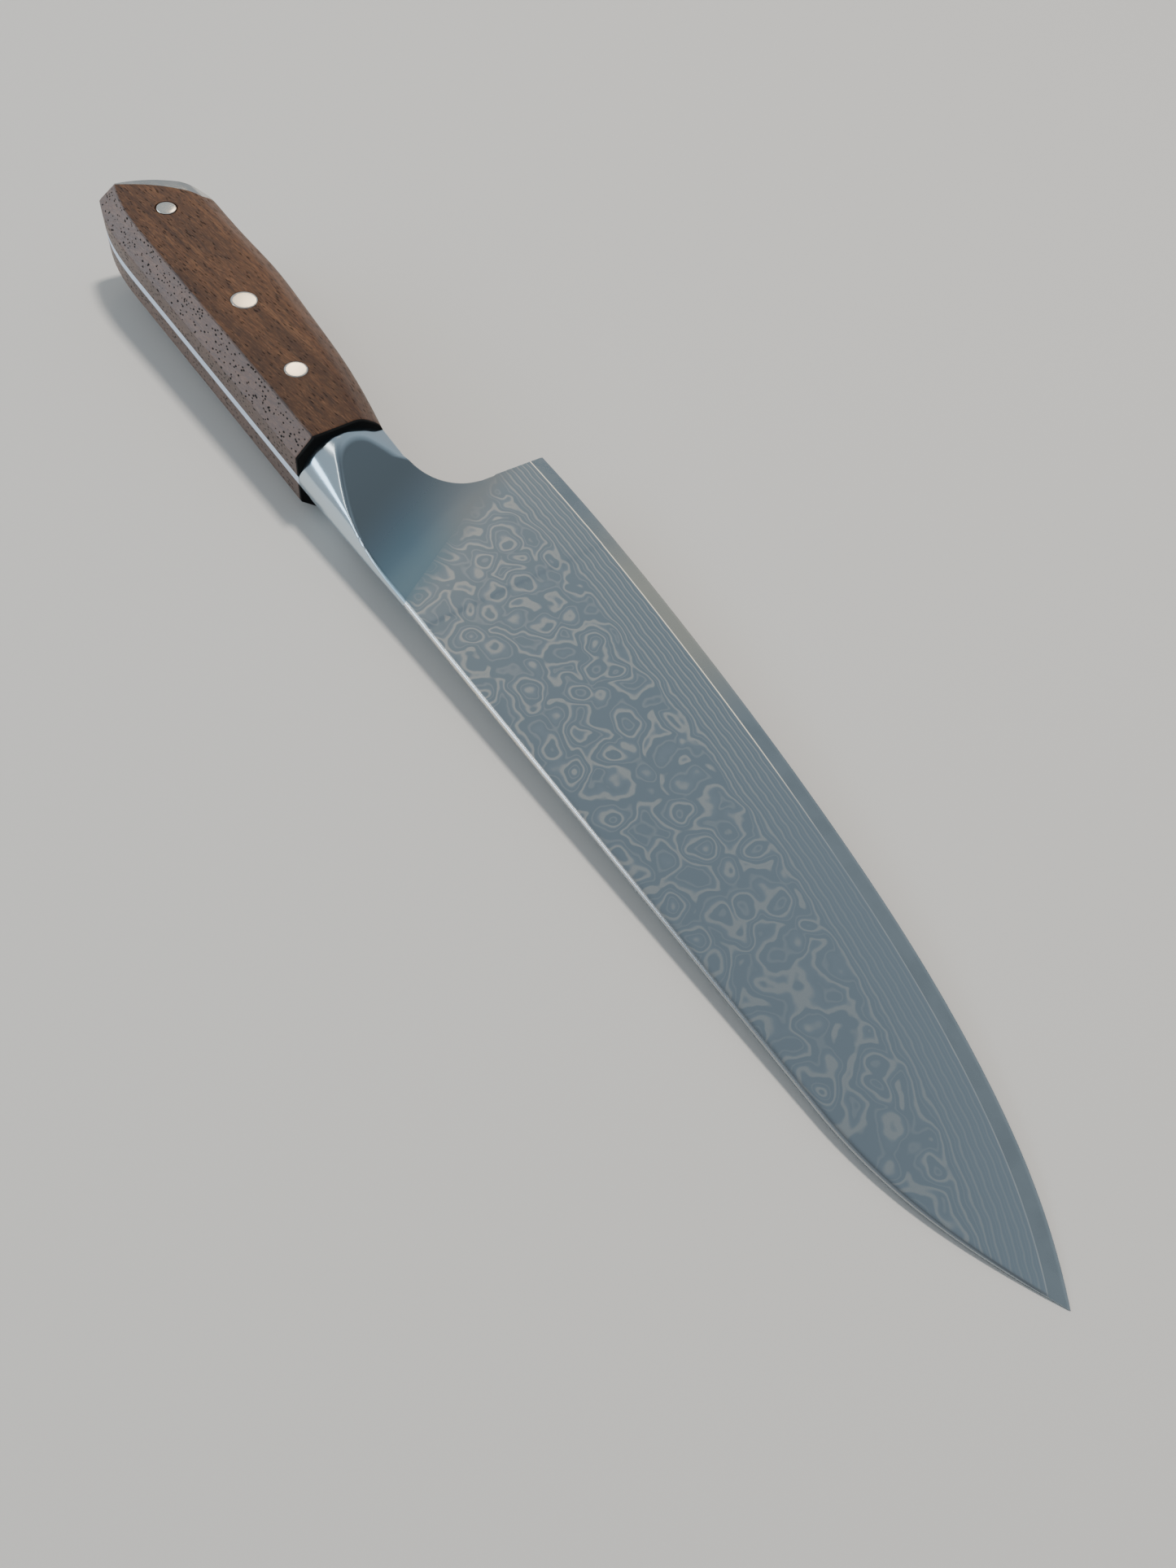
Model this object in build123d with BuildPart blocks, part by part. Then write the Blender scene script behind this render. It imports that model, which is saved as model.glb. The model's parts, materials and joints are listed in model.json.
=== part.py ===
from build123d import *
import os
from math import atan, cos, radians, sin

# Chef's knife: a laminated 203 mm blade welded to a one-piece forged bolster and
# full tang, with two riveted wood scales, black liner spacers and a domed steel cap.
#
# Every piece is drawn in the knife's own frame, in millimetres:
#   X runs along the spine from the heel (0) to the tip,
#   Y runs from the spine (0) to the cutting edge,
#   Z is the distance from the middle plane, positive on the knife's left side.
# The last section lays the finished pieces on their right side on the ground plane.

# ---- driving dimensions -------------------------------------------------------

BLADE_LENGTH = 203.0  # heel to tip
HEEL_HEIGHT = 52.5  # spine to edge at the heel
TIP_DROP = 12.5  # how far the tip lies below the line of the spine
SPINE_HALF = 1.2  # half thickness of the spine at the heel
CORE_HALF = 0.26  # half thickness of the hard core
CORE_WIDTH = 3.4  # bare core along the edge
BEVEL_HALF = 0.17  # half thickness behind the honed bevel
BEVEL_WIDTH = 0.5  # honed bevel along the edge
EDGE_MIDDLE = [(60.0, 48.9), (120.0, 41.2), (169.0, 29.6)]  # the edge between heel and tip
EDGE_TANGENTS = [(1, -0.01), (1, -0.75)]  # its directions at the heel and the tip
DROP_START = 155.0  # where the spine starts to fall towards the tip
DROP_MIDDLE = (180.0, 3.6)
DROP_TANGENTS = [(1, 0), (1, 0.46)]  # its directions there and at the tip
CROWN_FALL = 20.0  # how far the full thickness line leaves the spine at the tip

SHOULDER = -21.0  # rear face of the bolster
BOLSTER_HALF = 9.6  # half thickness at the shoulder
BOLSTER_BELLY = 22.0  # spine to belly at the shoulder
SPINE_LINE = -0.6  # spine of bolster and handle
CREASE_FOOT = (-21.0, SPINE_LINE, 1.8)  # corners of the bolster's ground facets
CREASE_HEAD = (-21.0, 1.8, 6.0)
FLAT_CORNER = (-21.0, 6.2, 8.7)
CREASE_END = (24.0, 0.0, 1.17)
BELLY_CORNERS = [(-21.0, 14.6, 9.4), (-21.0, 20.6, 6.0), (-9.0, 23.0, 2.9)]
SCOOP_RADIUS = 56.0  # grinding wheel that blends the bolster into the blade
SCOOP_SWEEP = 45  # degrees of the wheel's rim in use
SCOOP_SKEW = radians(25)  # the wheel's track against the spine
SCOOP_END = 17.8  # where the hollow runs out into the flat, along that track
SCOOP_DEPTH = 0.07  # how far its bottom lies below the spine's half thickness
FLANK_SLOPE = 0.018  # how fast the blade thins from spine to edge, as a ratio
CHOIL_RADIUS = 14.0
CHOIL_FOOT = (-0.6, 36.3)  # where the choil's curve meets the heel
WELD_TOP = (22.0, 0.0)  # weld between blade and bolster, on the spine
WELD_FOOT = (-0.5, 39.0)  # and on the heel

SPACER_THICKNESS = 0.8
TANG_HALF = 1.1
HANDLE_HALF = 10.6
SPINE_BEVEL = (4.8, 4.3)  # width on the handle's flat, depth on its side
BELLY_BEVEL = (5.8, 4.4)
BELLY_ROUND = 6.0
BUTT = (-132.0, 4.6)  # where the spine's line ends, just past the cap
BUTT_START = (-98.0, SPINE_LINE)  # where the spine starts to fall towards the butt
BUTT_MIDDLE = (-119.6, 0.7)
BUTT_TANGENTS = [(-1, 0), (-1, 0.4)]  # the spine's directions at its start and at the butt
BELLY_END = (-114.0, 29.2)  # the belly from the butt to the shoulder
BELLY_MIDDLE = [(-99.0, 29.1), (-83.0, 29.4), (-65.0, 28.2), (-46.0, 26.5), (-33.0, 24.5)]
LONG_EDGE = 80.0  # only the belly's bevels have edges longer than this
CAP_RADIUS = 29.6  # domed end of the handle
CAP_CENTRE = (-98.5, 4.5)
CAP_SEAT = [(-129.0, 0.0), (-126.0, 6.0), (-119.8, 17.3), (-112.9, 24.4)]  # curved seat
CAP_TOE = (-115.4, 31.0)  # the seat's short last stretch runs towards this point

# cutler's rivets: node name, place on the tang, head, tube and shank diameters
RIVETS = [
    ("front", (-42.8, 11.9), 5.5, 4.2, 3.0),
    ("middle", (-70.2, 13.5), 6.4, 5.0, 3.6),
]
RIVET_HEAD = 3.0
RIVET_GAP = 1.0  # between the end of the tube and the other half's head
STEM_REACH = 6.6  # how far a tube reaches past the middle plane
PIN_PLACE = (-111.0, 13.9)
PIN_DIAMETER = 5.0
PIN_PROUD = 0.15
PIN_RING = 0.35
PIN_RING_DEPTH = 0.6

REST_POINT = (202.48, 0.17)  # where the blade touches the ground when laid down: x, depth
HANDLE_FRONT = SHOULDER - SPACER_THICKNESS
BEYOND = 40.0  # how far a cutting shape reaches past the knife
PAST_TIP = 10.0  # how far the blade's lines run on past its tip and edge
LEFT, RIGHT = 1, -1


# ---- ground blade ---------------------------------------------------------------

# The cutting edge: almost straight at the heel, then sweeping up to the tip.
edge_line = Spline(
    (0, HEEL_HEIGHT),
    *EDGE_MIDDLE,
    (BLADE_LENGTH, TIP_DROP),
    tangents=EDGE_TANGENTS,
)
STEPS = 8  # stretches the edge is divided into for the lines beside it


def edge_points(inset):
    """Points at a distance inside the cutting edge, run on past the heel and the tip."""
    points = []
    for step in range(STEPS + 1):
        spot = edge_line @ (step / STEPS)
        run = edge_line % (step / STEPS)
        points.append((spot.X + inset * run.Y, spot.Y - inset * run.X))
    points.insert(0, (-BEYOND, points[0][1]))
    points.append((points[-1][0] + PAST_TIP, points[-1][1] - 0.9 * PAST_TIP))
    return points


def crown_points():
    """The line where the ground faces reach full thickness: the spine at the heel, and
    beyond the spine at the tip, so that the blade gets thinner there."""
    length = BLADE_LENGTH + BEYOND + PAST_TIP
    fractions = [step / (STEPS + 2) for step in range(STEPS + 3)]
    return [(f * length - BEYOND, -CROWN_FALL * max(0, f)) for f in fractions]


def ground_layer(low, low_points, high, high_points):
    """The slice of the ground blade between two heights above the middle plane."""
    with BuildPart() as layer:
        for height, points in ((low, low_points), (high, high_points)):
            with BuildSketch(Plane.XY.offset(height)):
                with BuildLine():
                    Spline(*points)
                    Polyline(points[-1], (points[-1][0], -BEYOND), (-BEYOND, -BEYOND), points[0])
                make_face()
        loft(ruled=True)
    return layer.part


honed_layer = ground_layer(0, edge_points(0), BEVEL_HALF, edge_points(BEVEL_WIDTH))
core_layer = ground_layer(BEVEL_HALF, edge_points(BEVEL_WIDTH), CORE_HALF, edge_points(CORE_WIDTH))
cladding_layer = ground_layer(CORE_HALF, edge_points(CORE_WIDTH), SPINE_HALF, crown_points())


# Side view of the blade, from the weld to past its tip and edge.
with BuildSketch() as blade_side:
    with BuildLine():
        Line(WELD_TOP, (DROP_START, 0))
        Spline(
            (DROP_START, 0),
            DROP_MIDDLE,
            (BLADE_LENGTH, TIP_DROP),
            tangents=DROP_TANGENTS,
        )
        Polyline(
            (BLADE_LENGTH, TIP_DROP),
            (BLADE_LENGTH + PAST_TIP, TIP_DROP + DROP_TANGENTS[1][1] * PAST_TIP),
            (BLADE_LENGTH + PAST_TIP, HEEL_HEIGHT + PAST_TIP),
            (0, HEEL_HEIGHT + PAST_TIP),
            (0, HEEL_HEIGHT),
            WELD_FOOT,
            WELD_TOP,
        )
    make_face()


with BuildPart() as blade_core:
    add(honed_layer)
    add(core_layer)
    mirror(about=Plane.XY)
    extrude(blade_side.sketch, amount=SPINE_HALF, both=True, mode=Mode.INTERSECT)

with BuildPart() as cladding_left:
    add(cladding_layer)
    extrude(blade_side.sketch, amount=2 * SPINE_HALF, mode=Mode.INTERSECT)

with BuildPart() as cladding_right:
    add(cladding_left.part.mirror(Plane.XY))


# ---- bolster and tang -------------------------------------------------------------

def facet(corners, side):
    """The plane of a ground facet through three corners, facing out of the bolster."""
    first, second, third = [Vector(x, y, side * z) for x, y, z in corners]
    normal = (second - first).cross(third - first)
    if normal.Z * side < 0:
        normal = normal * -1
    return Plane(origin=first, x_dir=second - first, z_dir=normal)


def scoop_plane(side):
    """Drawing plane across the grinding wheel: x runs along the blade's flank, y out of it."""
    dip = FLANK_SLOPE * sin(SCOOP_SKEW)
    run = Vector(cos(SCOOP_SKEW), sin(SCOOP_SKEW), -side * dip)
    out = Vector(0, FLANK_SLOPE, side)
    start = run * SCOOP_END + Vector(0, 0, side * (SPINE_HALF - SCOOP_DEPTH))
    return Plane(origin=start, x_dir=run, z_dir=run.cross(out))


# Side view of the bolster: spine, weld, heel, choil, belly and shoulder.
choil_start = (CHOIL_FOOT[0] - CHOIL_RADIUS, CHOIL_FOOT[1] - CHOIL_RADIUS)
with BuildSketch() as bolster_side:
    with BuildLine():
        Polyline((SHOULDER, SPINE_LINE), WELD_TOP, WELD_FOOT, CHOIL_FOOT)
        RadiusArc(CHOIL_FOOT, choil_start, CHOIL_RADIUS)
        Polyline(choil_start, (SHOULDER, BOLSTER_BELLY), (SHOULDER, SPINE_LINE))
    make_face()

with BuildPart() as bolster_body:
    extrude(bolster_side.sketch, amount=BOLSTER_HALF, both=True)
    for side in (LEFT, RIGHT):
        split(bisect_by=facet([CREASE_FOOT, CREASE_HEAD, CREASE_END], side), keep=Keep.BOTTOM)
        split(bisect_by=facet([CREASE_HEAD, FLAT_CORNER, CREASE_END], side), keep=Keep.BOTTOM)
        split(bisect_by=facet(BELLY_CORNERS, side), keep=Keep.BOTTOM)
        with BuildSketch(scoop_plane(side)):
            with BuildLine():
                wheel = CenterArc((0, SCOOP_RADIUS), SCOOP_RADIUS, -90 - SCOOP_SWEEP, SCOOP_SWEEP)
                Polyline(wheel @ 1, (BEYOND, 0), (BEYOND, BEYOND), (-BEYOND, BEYOND), wheel @ 0)
            make_face()
        extrude(amount=BEYOND, both=True, mode=Mode.SUBTRACT)

# The blade's own ground section runs back under the bolster as far as the shoulder.
with BuildPart() as blade_root:
    add(honed_layer)
    add(core_layer)
    add(cladding_layer)
    mirror(about=Plane.XY)
    extrude(bolster_side.sketch, amount=SPINE_HALF, both=True, mode=Mode.INTERSECT)


# ---- handle -----------------------------------------------------------------------

# Side view of the handle, from the bolster's shoulder to past its domed end.
with BuildSketch() as handle_side:
    with BuildLine():
        Line((SHOULDER, SPINE_LINE), BUTT_START)
        Spline(BUTT_START, BUTT_MIDDLE, BUTT, tangents=BUTT_TANGENTS)
        Polyline(BUTT, (BUTT[0], BELLY_END[1]), BELLY_END)
        Spline(BELLY_END, *BELLY_MIDDLE, (SHOULDER, BOLSTER_BELLY))
        Line((SHOULDER, BOLSTER_BELLY), (SHOULDER, SPINE_LINE))
    make_face()

# The dome that rounds off the butt, run on forwards so that it leaves the rest alone.
with BuildPart() as dome:
    with Locations((*CAP_CENTRE, 0)):
        Sphere(CAP_RADIUS)
    with BuildSketch(Plane.YZ.offset(CAP_CENTRE[0])):
        with Locations((CAP_CENTRE[1], 0)):
            Circle(CAP_RADIUS)
    extrude(amount=SHOULDER - CAP_CENTRE[0])

# The whole handle as one solid: bevelled along the spine and the belly, domed at the end.
with BuildPart() as handle_body:
    extrude(handle_side.sketch, amount=HANDLE_HALF, both=True)
    for face in faces().filter_by(Axis.Z):
        spine_edges = face.edges().filter_by(lambda e: e.center().Y < 5 and e.length > 20)
        belly_edges = face.edges().filter_by(
            lambda e: e.center().Y > 20 and e.center().X > BELLY_END[0]
        )
        chamfer(spine_edges, SPINE_BEVEL[0], SPINE_BEVEL[1], reference=face)
        chamfer(belly_edges, BELLY_BEVEL[0], BELLY_BEVEL[1], reference=face)
    fillet(edges().filter_by(lambda e: e.length > LONG_EDGE and e.center().Y > 20), BELLY_ROUND)
    add(dome.part, mode=Mode.INTERSECT)

# Side view of what lies ahead of the cap's seat.
with BuildSketch() as seat_side:
    with BuildLine():
        Spline(*CAP_SEAT)
        Polyline(
            CAP_SEAT[-1],
            CAP_TOE,
            (0, CAP_TOE[1]),
            (0, -BEYOND),
            (CAP_SEAT[0][0], -BEYOND),
            CAP_SEAT[0],
        )
    make_face()

with BuildPart() as end_cap:
    add(handle_body.part)
    extrude(seat_side.sketch, amount=BEYOND, both=True, mode=Mode.SUBTRACT)

with BuildPart() as bolster_tang:
    add(handle_body.part)
    extrude(seat_side.sketch, amount=TANG_HALF, both=True, mode=Mode.INTERSECT)
    add(bolster_body.part)
    add(blade_root.part)
    for _, place, _, tube, _ in RIVETS:
        with Locations(place):
            Hole(tube / 2)
    with Locations(PIN_PLACE):
        Hole(PIN_DIAMETER / 2)


def beside_tang(side, front, back):
    """The handle's section beside the tang, between two places along the spine."""
    with BuildPart() as slab:
        add(handle_body.part)
        extrude(seat_side.sketch, amount=BEYOND, both=True, mode=Mode.INTERSECT)
        split(bisect_by=Plane.XY.offset(side * TANG_HALF), keep=Keep.TOP if side > 0 else Keep.BOTTOM)
        split(bisect_by=Plane.YZ.offset(front), keep=Keep.BOTTOM)
        split(bisect_by=Plane.YZ.offset(back), keep=Keep.TOP)
    return slab.part


def drilled_scale(side):
    """A handle scale: rivet holes with counterbores for the heads, and the grooved pin hole."""
    with BuildPart() as scale:
        add(beside_tang(side, HANDLE_FRONT, -BLADE_LENGTH))
        for _, place, head, tube, _ in RIVETS:
            with BuildSketch(Plane.XY):
                with Locations(place):
                    Circle(tube / 2)
            extrude(amount=side * BEYOND, mode=Mode.SUBTRACT)
            with BuildSketch(Plane.XY.offset(side * (HANDLE_HALF - RIVET_HEAD))):
                with Locations(place):
                    Circle(head / 2)
            extrude(amount=side * BEYOND, mode=Mode.SUBTRACT)
        with BuildSketch(Plane.XY):
            with Locations(PIN_PLACE):
                Circle(PIN_DIAMETER / 2)
        extrude(amount=side * BEYOND, mode=Mode.SUBTRACT)
        with BuildSketch(Plane.XY.offset(side * (HANDLE_HALF - PIN_RING_DEPTH))):
            with Locations(PIN_PLACE):
                Circle(PIN_DIAMETER / 2 + PIN_RING)
        extrude(amount=side * BEYOND, mode=Mode.SUBTRACT)
    return scale.part


with BuildPart() as scale_left:
    add(drilled_scale(LEFT))

with BuildPart() as scale_right:
    add(drilled_scale(RIGHT))

with BuildPart() as spacer_left:
    add(beside_tang(LEFT, SHOULDER, HANDLE_FRONT))

with BuildPart() as spacer_right:
    add(beside_tang(RIGHT, SHOULDER, HANDLE_FRONT))


# ---- rivets and pin ----------------------------------------------------------------

def rivet_part(place, head, stem, side, reach, bore):
    """Half of a cutler's rivet: a flush head on one side and a stem to a given height."""
    with BuildPart() as half:
        with BuildSketch(Plane.XY.offset(side * HANDLE_HALF)):
            with Locations(place):
                Circle(head / 2)
        extrude(amount=-side * RIVET_HEAD)
        with BuildSketch(Plane.XY.offset(side * (HANDLE_HALF - RIVET_HEAD))):
            with Locations(place):
                Circle(stem / 2)
        extrude(amount=-side * (HANDLE_HALF - RIVET_HEAD - side * reach))
        if bore:
            with BuildSketch(Plane.XY.offset(reach)):
                with Locations(place):
                    Circle(bore / 2)
            extrude(amount=side * (HANDLE_HALF - RIVET_HEAD - side * reach), mode=Mode.SUBTRACT)
    return half.part


with BuildPart() as rear_pin:
    with BuildSketch():
        with Locations(PIN_PLACE):
            Circle(PIN_DIAMETER / 2)
    extrude(amount=HANDLE_HALF + PIN_PROUD, both=True)


# ---- the knife laid down ------------------------------------------------------------

# It rests on its right side, on the front edge of the handle and on the spine by the tip.
# The ground is z=0, the spine runs along x, and the origin is below the middle of the knife.
tilt = atan((HANDLE_HALF - REST_POINT[1]) / (REST_POINT[0] - SHOULDER))
rest_height = HANDLE_HALF * cos(tilt) + SHOULDER * sin(tilt)
butt_end = end_cap.part.bounding_box().min.X
lying = Plane(
    origin=(-(BLADE_LENGTH + butt_end) / 2 * cos(tilt), -(HEEL_HEIGHT + SPINE_LINE) / 2, rest_height),
    x_dir=(cos(tilt), 0, -sin(tilt)),
    z_dir=(sin(tilt), 0, cos(tilt)),
)


def lay_and_write(piece, name):
    """Lay a finished piece down and write it to its own file."""
    with BuildPart(lying) as laid:
        add(piece)
    laid.part.label = name
    export_step(laid.part, f"parts/{name}.step")


os.makedirs("parts", exist_ok=True)
lay_and_write(blade_core.part, "blade_core")
lay_and_write(cladding_left.part, "cladding_left")
lay_and_write(cladding_right.part, "cladding_right")
lay_and_write(bolster_tang.part, "bolster_tang")
lay_and_write(end_cap.part, "end_cap")
lay_and_write(scale_left.part, "scale_left")
lay_and_write(scale_right.part, "scale_right")
lay_and_write(spacer_left.part, "spacer_left")
lay_and_write(spacer_right.part, "spacer_right")
lay_and_write(rear_pin.part, "rear_pin")
for name, place, head, tube, shank in RIVETS:
    tube_part = rivet_part(place, head, tube, LEFT, -STEM_REACH, shank)
    lay_and_write(tube_part, f"{name}_rivet_tube")
    shank_part = rivet_part(place, head, shank, RIGHT, STEM_REACH + RIVET_GAP, 0)
    lay_and_write(shank_part, f"{name}_rivet_shank")
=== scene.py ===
import json
from math import cos, pi, radians, sin

import bmesh
import bpy
import numpy as np
from mathutils import Matrix, Vector


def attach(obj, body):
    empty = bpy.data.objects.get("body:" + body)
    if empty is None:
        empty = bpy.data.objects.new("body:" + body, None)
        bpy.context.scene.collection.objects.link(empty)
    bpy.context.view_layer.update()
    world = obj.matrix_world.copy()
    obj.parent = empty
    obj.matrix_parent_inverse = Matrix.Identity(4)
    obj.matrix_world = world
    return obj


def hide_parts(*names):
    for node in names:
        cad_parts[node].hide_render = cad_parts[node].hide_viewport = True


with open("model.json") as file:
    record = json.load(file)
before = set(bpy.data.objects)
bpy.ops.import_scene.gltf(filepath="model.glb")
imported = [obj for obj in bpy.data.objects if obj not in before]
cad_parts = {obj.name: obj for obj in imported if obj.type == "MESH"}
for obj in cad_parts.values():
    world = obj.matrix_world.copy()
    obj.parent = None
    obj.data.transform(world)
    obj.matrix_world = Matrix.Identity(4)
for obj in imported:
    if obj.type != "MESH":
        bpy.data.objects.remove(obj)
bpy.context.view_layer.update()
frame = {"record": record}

# ---- the knife's own frame ------------------------------------------------------
# Shapes are drawn in millimetres in the knife's own frame: X along the spine from the heel
# to the tip, Y from the spine to the edge, Z out of the left face. The record's flat face
# gives the way the knife lies in the row frame.

MM = 0.001
REST_SPOT = (-58.0, 13.0, -10.6)  # the record's flat face, in the knife's own frame
rest = frame["record"]["mounts"][0]
down = np.array(rest["axis"])
AXES = np.array([[-down[2], 0, down[0]], [0, 1, 0], -down])
ORIGIN = np.array(rest["pos_m"]) - MM * np.array(REST_SPOT) @ AXES


def laid(points):
    """Points from the knife's own frame, in mm, to the row frame, in m."""
    return ORIGIN + MM * np.asarray(points, float) @ AXES


def unlaid(points):
    return (np.asarray(points, float) - ORIGIN) @ AXES.T / MM


# ---- sizes ----------------------------------------------------------------------

BLADE_LENGTH = 203.0
SPINE_HALF = 1.2
CORE_HALF = 0.26
CORE_WIDTH = 3.4
BEVEL_HALF = 0.17
BEVEL_WIDTH = 0.5
SHOULDER = -21.0
SPINE_LINE = -0.6
BOLSTER_HALF = 9.6
BOLSTER_BELLY = 22.0
SCOOP_RADIUS = 56.0
CHOIL_RADIUS = 14.0
CHOIL_FOOT = (-0.6, 36.3)
WELD_TOP = (22.0, 0.0)
WELD_FOOT = (-0.5, 39.0)
TANG_HALF = 1.1
SPACER = 0.8
HANDLE_HALF = 10.6
HANDLE_FRONT = SHOULDER - SPACER
DOME_RADIUS = 29.6
DOME_CENTRE = (-98.5, 4.5)
RIVETS = [
    ("front", (-42.8, 11.9), 5.5, 4.2, 3.0),
    ("middle", (-70.2, 13.5), 6.4, 5.0, 3.6),
]
RIVET_SEAT = 3.0  # how deep a rivet's head sits in the wood
RIVET_PROUD = 0.03
RIVET_REACH = {"tube": 6.6, "shank": 7.6}  # how far each half reaches past the middle
PIN_PLACE = (-111.0, 13.9)
PIN_RADIUS = 2.5
PIN_GROOVE = (0.35, 0.6)  # the groove round the pin's ends: width and depth
PIN_PROUD = 0.15

POINT_START = 155.0  # the spine drops from here to the tip
BUTT_START = -98.0  # and from here to the butt
BELLY_START = -114.0  # behind this the belly keeps its depth
BELLY_DEPTH = 29.2
SEAT_KNEE = (-112.9, 24.4)  # below this the cap's seat is a straight line
SEAT_LEAN = -2.5 / 6.6

# The bolster's facets and hollow. Corners are (x, y, half thickness).
SPINE_CORNER = (SHOULDER, SPINE_LINE, 1.8)
CREASE_HEAD = (SHOULDER, 1.8, 6.3)
FLAT_CORNER = (SHOULDER, 6.2, 9.15)
FACETS_END = (24.0, 0.0, 1.17)
BELLY_CORNERS = [(SHOULDER, 14.6, 9.4), (SHOULDER, 20.6, 6.0), (-9.0, 23.0, 2.9)]
BELLY_LIFT = (-13.0, 0.45)  # the belly's facet flattens ahead of this, by this slope
SCOOP_TURN = radians(25)
SCOOP_START = 17.8
SCOOP_DROP = 0.07
SCOOP_LEAN = 0.018
SCOOP_LIMIT = 50.0  # keeps the arc's formula real behind the scoop
BLADE_ONLY = 30.0  # ahead of this there's only the blade

# The blade's hollow grind, from the bare line up to a line above the spine.
GRIND_TOP = -20.0
GRIND_START = -40.0
GRIND_RUN = 253.0
GRIND_POWER = 0.97
HEEL_LEAN = 0.6 / 16.2

# The handle's cross-section.
SPINE_BEVEL = (4.8, 6.3)  # the bevel's inner corner from the spine, its outer corner's height
BELLY_BEVEL = (5.8, 6.2)
CORNER_ROUNDS = [0.45, 0.5, 6.0, 6.0]
HANDLE_MIDDLE = (12.0, 4.0)  # a place inside a scale's cross-section

SETTLE_STEPS = 12  # rounds of a fixed-point search


def spline(points, start=None, end=None):
    """A smooth function through points, with the given slopes at its ends or none bent."""
    x, y = np.array(points, float).T
    n = len(x)
    h = np.diff(x)
    rows = np.zeros((n, n))
    right = np.zeros(n)
    for i in range(1, n - 1):
        rows[i, i - 1 : i + 2] = 1 / h[i - 1], 2 / h[i - 1] + 2 / h[i], 1 / h[i]
        right[i] = 3 * ((y[i] - y[i - 1]) / h[i - 1] ** 2 + (y[i + 1] - y[i]) / h[i] ** 2)
    if start is None:
        rows[0, :2] = 2 / h[0], 1 / h[0]
        right[0] = 3 * (y[1] - y[0]) / h[0] ** 2
    else:
        rows[0, 0] = 1
        right[0] = start
    if end is None:
        rows[-1, -2:] = 1 / h[-1], 2 / h[-1]
        right[-1] = 3 * (y[-1] - y[-2]) / h[-1] ** 2
    else:
        rows[-1, -1] = 1
        right[-1] = end
    slope = np.linalg.solve(rows, right)

    def at(value):
        value = np.asarray(value, float)
        k = np.clip(np.searchsorted(x, value) - 1, 0, n - 2)
        t = (value - x[k]) / h[k]
        low, high = slope[k] * h[k], slope[k + 1] * h[k]
        rise = y[k + 1] - y[k]
        inside = y[k] + t * low + t**2 * (3 * rise - 2 * low - high) + t**3 * (low + high - 2 * rise)
        before = y[0] + slope[0] * (value - x[0])
        after = y[-1] + slope[-1] * (value - x[-1])
        return np.where(t < 0, before, np.where(t > 1, after, inside))

    return at


edge_y = spline(
    [(0, 52.5), (60, 48.9), (120, 41.2), (169, 29.6), (BLADE_LENGTH, 12.5)], -0.01, -0.75
)
point_spine = spline([(POINT_START, 0), (180, 3.6), (BLADE_LENGTH, 12.5)], 0, 0.46)
butt_spine = spline([(-132, 4.6), (-119.6, 0.7), (BUTT_START, SPINE_LINE)], -0.4, 0)
belly_line = spline([
    (BELLY_START, BELLY_DEPTH), (-99, 29.1), (-83, 29.4), (-65, 28.2), (-46, 26.5),
    (-33, 24.5), (SHOULDER, BOLSTER_BELLY),
])
seat_curve = spline([(0, -129.0), (6.0, -126.0), (17.3, -119.8), (24.4, -112.9)])


def spine_y(x):
    neck = SPINE_LINE * (WELD_TOP[0] - x) / (WELD_TOP[0] - SHOULDER)
    body = np.where(x < SHOULDER, SPINE_LINE, np.where(x < WELD_TOP[0], neck, 0.0))
    return np.where(x < BUTT_START, butt_spine(x), np.where(x > POINT_START, point_spine(x), body))


def belly_y(x):
    return np.where(x < BELLY_START, BELLY_DEPTH, belly_line(x))


def seat_x(y):
    """Where the end cap's seat is."""
    knee_x, knee_y = SEAT_KNEE
    return np.where(y < knee_y, seat_curve(y), knee_x + SEAT_LEAN * (y - knee_y))


def low(a, b, blend):
    """The lower of two heights, rounded where they cross over the given difference."""
    h = np.maximum(blend - np.abs(a - b), 0) / blend
    return np.minimum(a, b) - h * h * blend / 4


def high(a, b, blend):
    return -low(-a, -b, blend)


# ---- meshes ---------------------------------------------------------------------


def grid_faces(rows, columns, start=0):
    r, c = np.meshgrid(np.arange(rows - 1), np.arange(columns - 1), indexing="ij")
    a = (start + r * columns + c).ravel()
    return np.stack([a, a + columns, a + columns + 1, a + 1], 1).tolist()


def grid_rim(rows, columns, start=0):
    """The border of a grid as one loop of vertex numbers."""
    index = start + np.arange(rows * columns).reshape(rows, columns)
    return np.concatenate([index[0, :-1], index[:-1, -1], index[-1, :0:-1], index[:0:-1, 0]])


def slab(x, y, top, bottom):
    """A closed solid over a grid of places, between two heights."""
    rows, columns = x.shape
    upper = np.stack([x, y, top], -1).reshape(-1, 3)
    lower = np.stack([x, y, bottom], -1).reshape(-1, 3)
    faces = grid_faces(rows, columns) + grid_faces(rows, columns, len(upper))
    above = grid_rim(rows, columns)
    below = above + len(upper)
    for i in range(len(above)):
        j = (i + 1) % len(above)
        faces.append([above[i], above[j], below[j], below[i]])
    return np.concatenate([upper, lower]), faces


def tube_of_rings(rings, cap_start=True, cap_end=True):
    """A closed solid through rings of points, fan-closed at its ends."""
    count = len(rings[0])
    points = np.concatenate(rings)
    faces = []
    for k in range(len(rings) - 1):
        for i in range(count):
            j = (i + 1) % count
            faces.append([k * count + i, k * count + j, (k + 1) * count + j, (k + 1) * count + i])
    if cap_start:
        faces.append(list(range(count)))
    if cap_end:
        faces.append(list(range((len(rings) - 1) * count, len(rings) * count)))
    return points, faces


def mesh_object(name, points, faces):
    mesh = bpy.data.meshes.new(name)
    mesh.from_pydata(laid(points).tolist(), [], faces)
    obj = bpy.data.objects.new(name, mesh)
    bpy.context.collection.objects.link(obj)
    return obj


SAME_PLACE = 1e-7  # points closer than this, in m, are one point


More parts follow.
